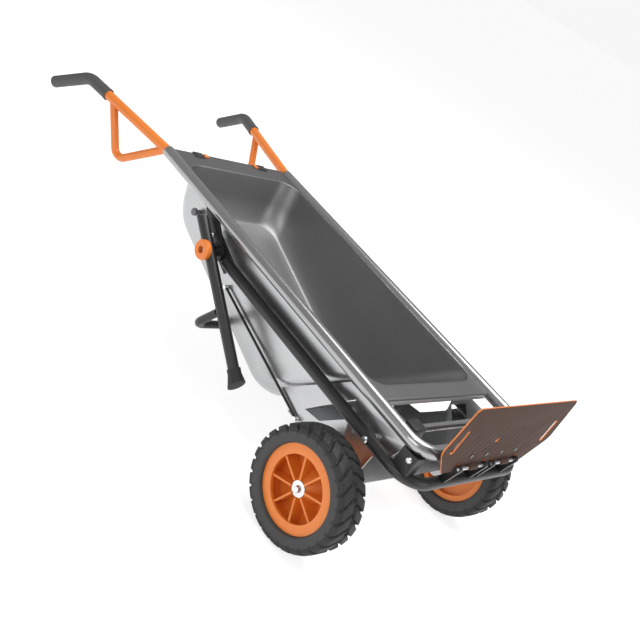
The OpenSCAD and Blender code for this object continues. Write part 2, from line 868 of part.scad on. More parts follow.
// Rivets with a raised head on the outside, flush on the side that carries the load
module plate_rivets() {
    head_t = 1.6;
    head_x = plate_t + seat_gap;
    color("silver") placed() for (y = rivet_ys, side = [-1, 1])
        translate([plate_back_x, side * y, hinge_z + rivet_z]) {
            bar_x(rivet_d, 0, head_x + 1);
            bar_x(rivet_d + 4, head_x, head_x + head_t);
        }
}

// ---- Legs, hoop, feet and locking knobs ----
// Places children on the leg pivot axis with +X along the folded legs
module on_leg() {
    translate([pivot[0], 0, pivot[1]]) rotate([0, leg_fold_angle, 0]) children();
}

module leg() {
    color("dimgray") placed() on_leg() translate([0, -leg_y, 0]) difference() {
        tube_x(leg_d, -leg_head, leg_reach - foot_h);
        bar_y(pivot_d + 2 * run_fit, -leg_d, leg_d);
        translate([-lock_offset, 0, 0]) bar_y(lock_pin_d + 2 * run_fit, -leg_d, leg_d);
        translate([-leg_head, 0, 0]) rotate([0, 35, 0]) translate([-leg_d, -leg_d, -2 * leg_d])
            cube([leg_d, 2 * leg_d, 4 * leg_d]);
    }
}

module leg_right() {
    leg();
}

module leg_left() {
    mirror([0, 1, 0]) leg();
}

module leg_hoop() {
    drop = hoop_drop - hoop_bend_r;
    steps = [[0, drop], [90, hoop_bend_r], [0, 2 * (leg_y - hoop_bend_r)], [90, hoop_bend_r], [0, drop]];
    color("dimgray") placed() on_leg() difference() {
        translate([hoop_at, -leg_y, 0]) rotate([0, 90, 0]) bar_run(hoop_d, steps);
        translate([hoop_at, -leg_y, 0]) rotate([0, 90, 0]) bar_run(hoop_d - 2 * tube_wall, steps);
        both_sides() translate([0, leg_y, 0])
            bar_x(leg_d + 2 * seat_gap, hoop_at - hoop_d, hoop_at + hoop_d);
    }
}

module foot() {
    cuff = 12;
    color("black") placed() on_leg() translate([0, -leg_y, 0]) difference() {
        translate([leg_reach - foot_h - cuff, 0, 0]) rotate([0, 90, 0]) {
            cylinder(d = leg_d + 5, h = cuff + 1);
            translate([0, 0, cuff]) cylinder(d1 = leg_d + 5, d2 = leg_d + 20, h = foot_h + 10);
        }
        bar_x(leg_d + 2 * seat_gap, 0, leg_reach - foot_h + seat_gap);
        translate([leg_reach, 0, 0]) rotate([0, -leg_lean, 0]) translate([0, -leg_d * 2, -leg_d * 2])
            cube(leg_d * 4);
    }
}

module foot_right() {
    foot();
}

module foot_left() {
    mirror([0, 1, 0]) foot();
}

module knob() {
    color("darkorange") placed() on_leg() mirror([0, 1, 0]) difference() {
        union() {
            bar_y(knob_d, knob_y, knob_y + knob_t - knob_bevel);
            translate([0, knob_y + knob_t - knob_bevel, 0]) rotate([-90, 0, 0])
                cylinder(d1 = knob_d, d2 = knob_d - 2 * knob_bevel, h = knob_bevel);
        }
        bar_y(bolt_head_d + 1, knob_y - 1, knob_y + knob_t + 1);
        translate([-lock_offset, 0, 0])
            bar_y(lock_pin_d + 2 * seat_gap, knob_y - 1, knob_y + knob_t - pin_cover);
    }
}

module knob_right() {
    knob();
}

module knob_left() {
    mirror([0, 1, 0]) knob();
}

module lock_pin() {
    color("silver") placed() on_leg() mirror([0, 1, 0]) translate([-lock_offset, 0, 0])
        bar_y(lock_pin_d, hanger_y + hanger_t - groove_depth + side_gap,
            knob_y + knob_t - pin_cover - seat_gap);
}

module lock_pin_right() {
    lock_pin();
}

module lock_pin_left() {
    mirror([0, 1, 0]) lock_pin();
}

// ---- Wheels, drawn about +Z with the outer face up ----
rim_w = 56;
rim_lip = 4;
barrel_r = rim_d / 2 - 9;
barrel_t = 4;
face_r = rim_d / 2 - 21;
face_t = 8;
spoke_w = 4;
spoke_z = -12;
cone_r = 40;
web_z = -14;
web_t = 4;

module on_axle() {
    placed() translate([axle_x, -wheel_y, axle_z]) rotate([90, 0, 0]) children();
}

module rim() {
    hub_lo = hub_y0 - wheel_y;
    hub_hi = hub_y1 - wheel_y;
    color("darkorange") on_axle() difference() {
        union() {
            rotate_extrude() polygon([
                [face_r, rim_w / 2 - face_t],
                [barrel_r - barrel_t, rim_w / 2 - face_t],
                [barrel_r - barrel_t, -rim_w / 2],
                [rim_d / 2, -rim_w / 2],
                [rim_d / 2, -rim_w / 2 + rim_lip],
                [barrel_r, -rim_w / 2 + rim_lip],
                [barrel_r, rim_w / 2 - rim_lip],
                [rim_d / 2, rim_w / 2 - rim_lip],
                [rim_d / 2, rim_w / 2],
                [face_r, rim_w / 2]
            ]);
            translate([0, 0, hub_lo]) cylinder(r = hub_r, h = hub_hi - hub_lo);
            rotate_extrude() polygon([
                [hub_r - 1, hub_hi],
                [hub_r, hub_hi],
                [cone_r, web_z + web_t],
                [barrel_r - 1, web_z + web_t],
                [barrel_r - 1, web_z],
                [cone_r - web_t, web_z],
                [hub_r - 1, hub_hi - 2 * web_t]
            ]);
            for (k = [0 : spokes - 1]) rotate([0, 0, 360 * (k + 0.5) / spokes])
                translate([hub_r - 3, -spoke_w / 2, spoke_z])
                    cube([barrel_r - hub_r - barrel_t + 5, spoke_w, rim_w / 2 - face_t / 2 - spoke_z]);
        }
        translate([0, 0, hub_hi]) cylinder(d = washer_d + 3, h = rim_w);
        translate([0, 0, hub_lo - 1])
            cylinder(d = axle_d + 2 * bush_wall + 2 * seat_gap, h = hub_hi - hub_lo + 2);
    }
}

module rim_right() {
    rim();
}

module rim_left() {
    mirror([0, 1, 0]) rim();
}

module bushing() {
    color("whitesmoke") on_axle() translate([0, 0, hub_y0 - wheel_y]) difference() {
        cylinder(d = axle_d + 2 * bush_wall, h = hub_y1 - hub_y0);
        translate([0, 0, -1]) cylinder(d = axle_d + 2 * run_fit, h = hub_y1 - hub_y0 + 2);
    }
}

module bushing_right() {
    bushing();
}

module bushing_left() {
    mirror([0, 1, 0]) bushing();
}

module tyre() {
    bead = rim_w / 2 - rim_lip - seat_gap;
    in_r = barrel_r + seat_gap;
    side_r = rim_d / 2 + seat_gap;
    half = tyre_w / 2;
    color("black") on_axle() rotate_extrude() polygon([
        [in_r, -bead], [side_r, -bead], [side_r, -half + 5], [side_r + 8, -half],
        [wheel_r - 16, -half], [wheel_r - 5, -half + 6], [wheel_r - 1, -half + 14], [wheel_r - 1, -14],
        [wheel_r - 5, -13], [wheel_r - 5, -9], [wheel_r, -8], [wheel_r, 8], [wheel_r - 5, 9],
        [wheel_r - 5, 13], [wheel_r - 1, 14], [wheel_r - 1, half - 14], [wheel_r - 5, half - 6],
        [wheel_r - 16, half], [side_r + 8, half], [side_r, half - 5], [side_r, bead], [in_r, bead]
    ]);
}

module tyre_right() {
    tyre();
}

module tyre_left() {
    mirror([0, 1, 0]) tyre();
}

tub();
rail_right();
rail_left();
nose_tube();
handle_right();
handle_left();
grip_right();
grip_left();
rear_clips();
clip_tabs();
strap_studs();
leg_hanger_right();
leg_hanger_left();
pivot_bolts();
lower_frame();
frame_end_bolts();
nose_block_right();
nose_block_left();
nose_bolts();
axle_bracket_right();
axle_bracket_left();
saddle_plate();
bracket_bolts();
brace_rod_right();
brace_rod_left();
brace_studs();
axle();
axle_washers();
axle_bolts();
front_cross_tube();
cross_clamps();
hinge_lugs();
hinge_pins();
leg_right();
leg_left();
leg_hoop();
foot_right();
foot_left();
knob_right();
knob_left();
lock_pin_right();
lock_pin_left();
rim_right();
rim_left();
bushing_right();
bushing_left();
tyre_right();
tyre_left();
toe_plate();
plate_rivets();
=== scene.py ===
import bmesh
import bpy
import numpy as np
from mathutils import Matrix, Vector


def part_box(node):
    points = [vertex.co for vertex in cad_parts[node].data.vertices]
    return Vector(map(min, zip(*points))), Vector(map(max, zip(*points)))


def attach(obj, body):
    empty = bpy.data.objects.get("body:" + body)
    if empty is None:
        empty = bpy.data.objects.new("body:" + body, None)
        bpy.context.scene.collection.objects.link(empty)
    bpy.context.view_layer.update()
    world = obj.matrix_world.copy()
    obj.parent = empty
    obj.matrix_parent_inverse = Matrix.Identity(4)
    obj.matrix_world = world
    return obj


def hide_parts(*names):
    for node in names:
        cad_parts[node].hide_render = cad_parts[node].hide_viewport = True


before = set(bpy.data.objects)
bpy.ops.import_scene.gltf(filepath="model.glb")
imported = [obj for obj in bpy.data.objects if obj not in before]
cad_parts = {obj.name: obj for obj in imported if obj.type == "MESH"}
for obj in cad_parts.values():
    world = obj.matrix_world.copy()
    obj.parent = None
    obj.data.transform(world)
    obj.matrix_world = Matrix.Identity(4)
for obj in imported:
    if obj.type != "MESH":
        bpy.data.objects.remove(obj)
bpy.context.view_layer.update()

# The pressed tub: one sheet of zinc-coated steel with a turned-down lip, a flat rim
# and rounded walls. It is deepest at the nose end, and its rim is held between the rails.
RAIL_PITCH = np.radians(3.0)
rail_turn = np.array(
    [
        [np.cos(RAIL_PITCH), 0, np.sin(RAIL_PITCH)],
        [0, 1, 0],
        [-np.sin(RAIL_PITCH), 0, np.cos(RAIL_PITCH)],
    ]
)
axle_low, axle_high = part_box("axle")
AXLE_ON_RAILS = np.array([0.865, 0, -0.209])
rail_shift = (np.array(axle_low) + np.array(axle_high)) / 2 - rail_turn @ AXLE_ON_RAILS


def placed(points):
    """Points drawn with the rails level, turned nose-down by the rails' pitch and moved onto the axle:
    each is rail_turn times the point, plus rail_shift."""
    return points @ rail_turn.T + rail_shift


def woven_mesh(name, grid, wrap_u=False, wrap_v=False, crease=40):
    """A mesh over an (m, n, 3) grid of points: quad (i, j) joins rows i, i+1 and columns j, j+1, closed
    round where a side wraps. Points that meet at a pole or seam are merged, and normals point outwards."""
    m, n = grid.shape[:2]
    index = np.arange(m * n).reshape(m, n)
    nxt_u, nxt_v = np.roll(index, -1, axis=0), np.roll(index, -1, axis=1)
    both = np.roll(nxt_u, -1, axis=1)
    quads = np.stack([index, nxt_u, both, nxt_v], axis=-1)
    quads = quads[: m if wrap_u else m - 1, : n if wrap_v else n - 1].reshape(-1, 4)
    mesh = bpy.data.meshes.new(name)
    mesh.from_pydata(grid.reshape(-1, 3), [], quads)
    return tidy_mesh(mesh, crease)


def tidy_mesh(mesh, crease):
    """Merges doubled points, turns the faces outwards and marks edges sharper than crease degrees."""
    work = bmesh.new()
    work.from_mesh(mesh)
    bmesh.ops.remove_doubles(work, verts=work.verts, dist=1e-6)
    bmesh.ops.recalc_face_normals(work, faces=work.faces)
    work.to_mesh(mesh)
    work.free()
    mesh.shade_smooth()
    mesh.set_sharp_from_angle(angle=np.radians(crease))
    return mesh


def add_piece(name, mesh, body, slot, nodes, *materials):
    """Puts a finished mesh in the scene, riding on its body in place of its CAD nodes."""
    piece = bpy.data.objects.new(name, mesh)
    bpy.context.collection.objects.link(piece)
    for material in materials:
        mesh.materials.append(material)
    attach(piece, body)
    if nodes:
        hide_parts(*nodes)
    return piece


def new_group(name, inputs, outputs):
    """An empty shader node group with float inputs {name: default} and named outputs of a socket type."""
    group = bpy.data.node_groups.new(name, "ShaderNodeTree")
    for label, value in inputs.items():
        group.interface.new_socket(label, in_out="INPUT", socket_type="NodeSocketFloat").default_value = value
    for label, kind in outputs.items():
        group.interface.new_socket(label, in_out="OUTPUT", socket_type=kind)
    return group, group.nodes.new("NodeGroupInput"), group.nodes.new("NodeGroupOutput")


def math_node(tree, operation, first, second):
    """A Math node; each of its two inputs is a socket or a number."""
    node = tree.nodes.new("ShaderNodeMath")
    node.operation = operation
    for socket, value in zip(node.inputs, (first, second)):
        if isinstance(value, (int, float)):
            socket.default_value = value
        else:
            tree.links.new(value, socket)
    return node.outputs[0]


# grain: noise drawn out along the cart by Length and across it by Width, plus a slow cloud
grain_group, ins, outs = new_group(
    "surface grain",
    {"Length": 60.0, "Width": 60.0, "Cloud": 3.0},
    {"Grain": "NodeSocketFloat", "Cloud": "NodeSocketFloat"},
)
coords = grain_group.nodes.new("ShaderNodeTexCoord")
joined = grain_group.nodes.new("ShaderNodeCombineXYZ")
scaled = grain_group.nodes.new("ShaderNodeVectorMath")
scaled.operation = "MULTIPLY"
fine = grain_group.nodes.new("ShaderNodeTexNoise")
fine.inputs["Scale"].default_value = 1.0
fine.inputs["Detail"].default_value = 4.0
slow = grain_group.nodes.new("ShaderNodeTexNoise")
slow.inputs["Detail"].default_value = 5.0
slow.inputs["Roughness"].default_value = 0.65
links = grain_group.links
links.new(ins.outputs["Length"], joined.inputs["X"])
links.new(ins.outputs["Width"], joined.inputs["Y"])
links.new(ins.outputs["Width"], joined.inputs["Z"])
links.new(coords.outputs["Object"], scaled.inputs[0])
links.new(joined.outputs[0], scaled.inputs[1])
links.new(scaled.outputs[0], fine.inputs["Vector"])
links.new(coords.outputs["Object"], slow.inputs["Vector"])
links.new(ins.outputs["Cloud"], slow.inputs["Scale"])
links.new(fine.outputs["Fac"], outs.inputs["Grain"])
links.new(slow.outputs["Fac"], outs.inputs["Cloud"])

# edge wear: how far the rounded normal leans from the true one, broken up by noise
LEAN_GAIN = 6.0
PATCH_START, PATCH_GAIN = 0.38, 3.0
wear_group, ins, outs = new_group("edge wear", {"Reach": 0.0015, "Amount": 1.0}, {"Mask": "NodeSocketFloat"})
rounded = wear_group.nodes.new("ShaderNodeBevel")
rounded.samples = 6
true_normal = wear_group.nodes.new("ShaderNodeNewGeometry")
lean = wear_group.nodes.new("ShaderNodeVectorMath")
lean.operation = "DOT_PRODUCT"
patches = wear_group.nodes.new("ShaderNodeTexNoise")
patches.inputs["Scale"].default_value = 90.0
patches.inputs["Detail"].default_value = 3.0
wear_coords = wear_group.nodes.new("ShaderNodeTexCoord")
links = wear_group.links
links.new(ins.outputs["Reach"], rounded.inputs["Radius"])
links.new(rounded.outputs["Normal"], lean.inputs[0])
links.new(true_normal.outputs["Normal"], lean.inputs[1])
links.new(wear_coords.outputs["Object"], patches.inputs["Vector"])
edge = math_node(wear_group, "SUBTRACT", 1.0, lean.outputs["Value"])
edge = math_node(wear_group, "MULTIPLY", edge, LEAN_GAIN)
broken = math_node(wear_group, "SUBTRACT", patches.outputs["Fac"], PATCH_START)
broken = math_node(wear_group, "MULTIPLY", broken, PATCH_GAIN)
masked = math_node(wear_group, "MULTIPLY", edge, broken)
masked = math_node(wear_group, "MULTIPLY", masked, ins.outputs["Amount"])
clamped = wear_group.nodes.new("ShaderNodeClamp")
links.new(masked, clamped.inputs["Value"])
links.new(clamped.outputs[0], outs.inputs["Mask"])


NOISE_LOW, NOISE_HIGH = 0.3, 0.7
COAT_ROUGHNESS = 0.12


def finish(name, colour, shade, worn, rough, rough_swing, metallic, coat, grain, bump, wear=(0.0015, 1.0)):
    """A surface whose colour drifts from colour to shade with a slow cloud and turns to worn along its
    edges, with roughness about rough, give or take rough_swing, and a bump of the grain's height in metres.
    grain holds the grain group's Length, Width and Cloud, and wear the wear group's Reach and Amount."""
    material = bpy.data.materials.new(name)
    material.use_nodes = True
    tree = material.node_tree
    shader = tree.nodes["Principled BSDF"]
    shader.inputs["Metallic"].default_value = metallic
    shader.inputs["Coat Weight"].default_value = coat
    shader.inputs["Coat Roughness"].default_value = COAT_ROUGHNESS
    grains = tree.nodes.new("ShaderNodeGroup")
    grains.node_tree = grain_group
    for label, value in zip(("Length", "Width", "Cloud"), grain):
        grains.inputs[label].default_value = value
    wears = tree.nodes.new("ShaderNodeGroup")
    wears.node_tree = wear_group
    wears.inputs["Reach"].default_value, wears.inputs["Amount"].default_value = wear
    ramp = tree.nodes.new("ShaderNodeValToRGB")
    ramp.color_ramp.elements[0].position = NOISE_LOW
    ramp.color_ramp.elements[0].color = (*shade, 1)
    ramp.color_ramp.elements[1].position = NOISE_HIGH
    ramp.color_ramp.elements[1].color = (*colour, 1)
    mixed = tree.nodes.new("ShaderNodeMix")
    mixed.data_type = "RGBA"
    mixed.inputs["B"].default_value = (*worn, 1)
    spread = tree.nodes.new("ShaderNodeMapRange")
    spread.inputs["From Min"].default_value = NOISE_LOW
    spread.inputs["From Max"].default_value = NOISE_HIGH
    spread.inputs["To Min"].default_value = rough - rough_swing
    spread.inputs["To Max"].default_value = rough + rough_swing
    relief = tree.nodes.new("ShaderNodeBump")
    relief.inputs["Distance"].default_value = bump
    link = tree.links.new
    link(grains.outputs["Cloud"], ramp.inputs["Fac"])
    link(ramp.outputs["Color"], mixed.inputs["A"])
    link(wears.outputs["Mask"], mixed.inputs["Factor"])
    link(mixed.outputs["Result"], shader.inputs["Base Color"])
    link(grains.outputs["Grain"], spread.inputs["Value"])
    link(spread.outputs["Result"], shader.inputs["Roughness"])
    link(grains.outputs["Grain"], relief.inputs["Height"])
    link(relief.outputs["Normal"], shader.inputs["Normal"])
    return material


bright_steel = finish(
    "zinc-coated steel",
    colour=(0.50, 0.505, 0.51), shade=(0.43, 0.435, 0.44), worn=(0.75, 0.75, 0.76),
    rough=0.3, rough_swing=0.03, metallic=0.95, coat=0.0, grain=(30.0, 900.0, 3.0), bump=0.000012,
)
# The tub's rim and inside are the same zinc-coated sheet as its outside, painted darker as painted shade: the
# rim's top darkest, the inside a little lighter.
rim_steel_painted_shade = finish(
    "tub rim, zinc-coated steel",
    colour=(0.2, 0.2, 0.203), shade=(0.175, 0.175, 0.178), worn=(0.5, 0.5, 0.5),
    rough=0.42, rough_swing=0.03, metallic=0.9, coat=0.0, grain=(30.0, 900.0, 3.0), bump=0.000012,
)
tub_inside_painted_shade = finish(
    "tub inside, shade_painted steel",
    colour=(0.31, 0.31, 0.313), shade=(0.27, 0.27, 0.273), worn=(0.42, 0.42, 0.42),
    rough=0.42, rough_swing=0.03, metallic=0.85, coat=0.1, grain=(30.0, 900.0, 2.5), bump=0.000012,
)

TUB_X = (0.048, 0.805)
TUB_REAR_IN, TUB_FRONT_IN, TUB_SIDE_IN = 0.018, 0.213, 0.010
TUB_DEPTHS = (0.111, 0.250)
TUB_HALF = 0.185
TUB_FILLET, RIM_CORNER, FLOOR_CORNER = 0.022, 0.048, 0.062
WALL_SHARE = 0.5
SHEET = 0.0015
FLANGE_X, FLANGE_HALF, FLANGE_CORNER = (-0.012, 0.849), 0.1885, 0.004
RIM_TOP, LIP_LOW, LIP_ROUND = 0.004, -0.010, 0.0015
RIM_ROLL, ROLL_END, ROLL_SIDE = 0.0035, 0.003, 0.0015
ROLL_STEPS, WALL_STEPS, FILLET_STEPS = 5, 14, 15


def tub_depth(x):
    """Depth below the rim at x: straight between the rear and front depths over the sloping floor."""
    share = (x - TUB_X[0] - TUB_REAR_IN) / (TUB_X[1] - TUB_FRONT_IN - TUB_X[0] - TUB_REAR_IN)
    return TUB_DEPTHS[0] + (TUB_DEPTHS[1] - TUB_DEPTHS[0]) * np.clip(share, 0, 1)


def rounded_loop(x0, x1, half, radius, corner=14, run=12):
    """Points round a rectangle with rounded corners: four quarter circles of radius, centre plus
    radius times (cos, sin) of an angle, each followed by a straight run to the next."""
    arc = np.linspace(0, 1, corner)
    loops = []
    centres = (
        (x1 - radius, half - radius),
        (x0 + radius, half - radius),
        (x0 + radius, radius - half),
        (x1 - radius, radius - half),
    )
    for number, (cx, cy) in enumerate(centres):
        angle = np.radians(90 * (number + arc))
        loops.append(np.stack([cx + radius * np.cos(angle), cy + radius * np.sin(angle)], axis=1))
    points = []
    for number, here in enumerate(loops):
        after = loops[(number + 1) % 4][0]
        steps = np.linspace(0, 1, run + 2)[1:-1, None]
        points += [here, here[-1] * (1 - steps) + after * steps]
    return np.concatenate(points)


def tub_row(share, inset, shrink=1.0):
    """One ring of the tub's inside at a share of its depth, drawn in by inset and by the sheet, and shrunk
    towards the middle of the floor. Its ends, sides and corner radius change evenly with the share."""
    inset = inset + SHEET
    x0 = TUB_X[0] + TUB_REAR_IN * share + inset
    x1 = TUB_X[1] - TUB_FRONT_IN * share - inset
    half = TUB_HALF - TUB_SIDE_IN * share - inset
    radius = RIM_CORNER + (FLOOR_CORNER - RIM_CORNER) * share - inset * 0.5
    flat = rounded_loop(x0, x1, half, radius)
    flat = (flat - [(x0 + x1) / 2, 0]) * shrink + [(x0 + x1) / 2, 0]
    return np.column_stack([flat, -share * (tub_depth(flat[:, 0]) - SHEET)])


def rim_row(reach, height):
    """One ring of the flat rim: (1 - reach) of the opening's outline plus reach of the flange's outer one."""
    inner = rounded_loop(*TUB_X, TUB_HALF, RIM_CORNER)
    outer = rounded_loop(*FLANGE_X, FLANGE_HALF, FLANGE_CORNER)
    flat = inner * (1 - reach) + outer * reach
    return np.column_stack([flat, np.full(len(flat), height)])


rows = [rim_row(1, LIP_LOW), rim_row(1, 0.0), rim_row(1, RIM_TOP - LIP_ROUND), rim_row(0.97, RIM_TOP)]
rows += [rim_row(reach, RIM_TOP) for reach in (0.85, 0.5, 0.2)]
opening = rounded_loop(TUB_X[0] - ROLL_END, TUB_X[1] + ROLL_END, TUB_HALF + ROLL_SIDE, RIM_CORNER + ROLL_END)
for turn in np.radians(np.linspace(0, 90, ROLL_STEPS)):
    row = tub_row(0, 0)
    row[:, :2] = opening * (1 - np.sin(turn)) + row[:, :2] * np.sin(turn)
    row[:, 2] = RIM_TOP - RIM_ROLL * (1 - np.cos(turn))
    rows.append(row)
rows += [tub_row(WALL_SHARE * step / WALL_STEPS, 0) for step in range(1, WALL_STEPS + 1)]
for turn in np.radians(np.linspace(0, 90, FILLET_STEPS)[1:]):
    rows.append(tub_row(WALL_SHARE + (1 - WALL_SHARE) * np.sin(turn), TUB_FILLET * (1 - np.cos(turn))))
rows += [tub_row(1, TUB_FILLET, shrink) for shrink in (0.85, 0.65, 0.45, 0.25, 0.1, 0.0)]
tub_mesh = woven_mesh("tub", placed(np.array(rows)), wrap_v=True, crease=50)
tub = add_piece("tub_pressing", tub_mesh, "frame", "galvanised", ["tub"], tub_inside_painted_shade, rim_steel_painted_shade, bright_steel)
# the flattest face of the rim's top has to look up, because the sheet is thickened to the other side
RIM_MIDDLE = np.array([[0.4, 0, 0.002]])
rim_height = placed(RIM_MIDDLE)[0, 2]
up_face = max(tub_mesh.polygons, key=lambda face: abs(face.normal.z) * (face.center.z > rim_height))
if up_face.normal.z < 0:
    tub_mesh.flip_normals()
sheet = tub.modifiers.new("sheet", "SOLIDIFY")
sheet.thickness = SHEET
sheet.material_offset = 2
sheet.material_offset_rim = 1
# the sheet's inner faces take the inside's painted shade and the rim's top the rim's painted shade; the
# thickened back, the outside, keeps the plain zinc-coated steel
middles = np.empty(len(tub_mesh.polygons) * 3)
tub_mesh.polygons.foreach_get("center", middles)
heights = ((middles.reshape(-1, 3) - rail_shift) @ rail_turn)[:, 2]
tub_mesh.polygons.foreach_set("material_index", (heights > RIM_TOP - RIM_ROLL).astype(np.int32))

# The two rails and the nose tube: bright zinc-coated tube, bent round at the nose and
# joined there by a short cross piece. They carry the tub, the handles and the legs.


def smooth_copy(node, bevel=0.0, crease=32):
    """A copy of a CAD node's mesh, merged, with flat facets joined again and its edges sharper than crease
    degrees rounded by bevel metres."""
    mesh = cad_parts[node].data.copy()
    mesh.materials.clear()
    work = bmesh.new()
    work.from_mesh(mesh)
    bmesh.ops.remove_doubles(work, verts=work.verts, dist=2e-6)
    bmesh.ops.dissolve_limit(work, angle_limit=np.radians(0.5), verts=work.verts, edges=work.edges)
    if bevel:
        shared = [edge for edge in work.edges if len(edge.link_faces) == 2]
        sharp = [edge for edge in shared if edge.calc_face_angle(0) > np.radians(crease)]
        bmesh.ops.bevel(
            work, geom=sharp, offset=bevel, segments=2, profile=0.6, affect="EDGES", clamp_overlap=True
        )
    work.to_mesh(mesh)
    work.free()
    mesh.shade_smooth()
    mesh.set_sharp_from_angle(angle=np.radians(crease + 6))
    return mesh


def dress(nodes, body, slot, material, bevel=0.0, crease=32):
    """Shows each CAD node by a smooth copy of itself in one finish."""
    for node in nodes:
        add_piece(node + "_shown", smooth_copy(node, bevel, crease), body, slot, [node], material)


rail_steel = finish(
    "rail steel",
    colour=(0.40, 0.40, 0.405), shade=(0.35, 0.35, 0.355), worn=(0.65, 0.65, 0.65),
    rough=0.22, rough_swing=0.03, metallic=0.9, coat=0.0, grain=(30.0, 900.0, 4.0), bump=0.000008,
)
dress(["rail_right", "rail_left", "nose_tube", "front_cross_tube"], "frame", "galvanised", rail_steel)

# The handles: orange-coated steel tube that plugs into each rail and flares outwards, bent
# down at the grip, with a smaller tube welded below it as a loop to lift or hang the cart by.
RAIL_HALF = 0.203
HANDLE_FLARE = np.radians(11.5)
HANDLE_RADIUS, LOOP_RADIUS = 0.012, 0.010
GRIP_START, GRIP_BEND, GRIP_END = 0.236, 0.075, 0.132
GRIP_DROP, GRIP_BEND_RADIUS = np.radians(37), 0.055
GRIP_CAP = 0.008
HANDLE_MOUTH = 0.004
LOOP_CORNERS, LOOP_BEND = [[0.215, 0, 0], [0.129, -0.116, 0], [0.007, 0, 0]], 0.026


def on_handle(points, side):
    """Points (back along the handle, up, out) put on the right (side -1) or left (side 1) handle: turned
    about the upright by the flare and moved out to the rail."""
    back, up, out = points.T
    x = -back * np.cos(HANDLE_FLARE) + out * np.sin(HANDLE_FLARE)
    y = RAIL_HALF + back * np.sin(HANDLE_FLARE) + out * np.cos(HANDLE_FLARE)
    return np.column_stack([x, side * y, up])


def rounded_path(corners, radius, step=0.004, arc=12):
    """A path through corner points with each inner corner replaced by an arc of radius tangent to both
    sides, and its straight runs cut into steps. A point at a share of an arc is the centre plus the sum of
    its two end arms, each times the sine of its part of the spread over the sine of the spread."""
    corners = np.asarray(corners, float)
    parts = [corners[:1]]
    for before, here, after in zip(corners, corners[1:], corners[2:]):
        back, on = before - here, after - here
        back, on = back / np.linalg.norm(back), on / np.linalg.norm(on)
        half = np.arccos(np.clip(back @ on, -1, 1)) / 2
        centre = here + (back + on) / np.linalg.norm(back + on) * radius / np.sin(half)
        first, last = here + back * radius / np.tan(half), here + on * radius / np.tan(half)
        share = np.linspace(0, 1, arc)[:, None]
        spread = np.pi - 2 * half
        swept = (first - centre) * np.sin((1 - share) * spread) + (last - centre) * np.sin(share * spread)
        parts.append(centre + swept / np.sin(spread))
    parts.append(corners[-1:])
    points = np.concatenate(parts)
    lengths = np.linalg.norm(np.diff(points, axis=0), axis=1)
    filled = [points[:1]]
    for start, end, length in zip(points, points[1:], lengths):
        count = max(1, int(np.ceil(length / step)))
        filled.append(start + (end - start) * np.linspace(0, 1, count + 1)[1:, None])
    return np.concatenate(filled)


def tube_grid(path, radius, reference, sides=40, closed_ends=True):
    """Circles round a path, each square to it: the point plus radius times (cos a * across + sin a * other),
    where across is square to the path and to reference. radius is a number or one per point, and closed
    ends add a shrinking ring and a pole."""
    tangent = np.gradient(path, axis=0)
    tangent /= np.linalg.norm(tangent, axis=1, keepdims=True)
    across = np.cross(tangent, reference)
    across /= np.linalg.norm(across, axis=1, keepdims=True)
    other = np.cross(across, tangent)
    radius = np.broadcast_to(np.asarray(radius, float), (len(path),))
    if closed_ends:
        path = np.concatenate([path[:1], path[:1], path, path[-1:], path[-1:]])
        across = np.concatenate([across[:1], across[:1], across, across[-1:], across[-1:]])
        other = np.concatenate([other[:1], other[:1], other, other[-1:], other[-1:]])
        radius = np.concatenate([[0, radius[0] * 0.9], radius, [radius[-1] * 0.9, 0]])
    around = 2 * np.pi * np.arange(sides) / sides
    ring = np.cos(around)[None, :, None] * across[:, None] + np.sin(around)[None, :, None] * other[:, None]
    return path[:, None] + radius[:, None, None] * ring


orange_coat = finish(
    "orange powder coat",
    colour=(0.74, 0.195, 0.022), shade=(0.69, 0.178, 0.018), worn=(0.85, 0.33, 0.1),
    rough=0.4, rough_swing=0.04, metallic=0.0, coat=0.2, grain=(700.0, 700.0, 6.0), bump=0.00003,
)


def grip_line(reach):
    """Corner points of the grip's bend and of its end, reach metres past the start of the drooping end."""
    bend = GRIP_START + GRIP_BEND
    return [[bend, 0, 0], [bend + reach * np.cos(GRIP_DROP), -reach * np.sin(GRIP_DROP), 0]]


for side, word in ((-1, "right"), (1, "left")):
    handle_line = rounded_path([[HANDLE_MOUTH, 0, 0], *grip_line(GRIP_END - GRIP_CAP)], GRIP_BEND_RADIUS)
    handle_rings = tube_grid(on_handle(handle_line, side), HANDLE_RADIUS, [0, 0, 1])
    tube = woven_mesh("handle", placed(handle_rings), wrap_v=True)
    add_piece("handle_tube_" + word, tube, "frame", "orange_paint", ["handle_" + word], orange_coat)
    loop_line = on_handle(rounded_path(LOOP_CORNERS, LOOP_BEND), side)
    out = on_handle(np.array([[0.0, 0, 1.0]]), side)[0] - on_handle(np.array([[0.0, 0, 0]]), side)[0]
    loop = woven_mesh("loop", placed(tube_grid(loop_line, LOOP_RADIUS, out)), wrap_v=True)
    add_piece("handle_loop_" + word, loop, "frame", "orange_paint", [], orange_coat)

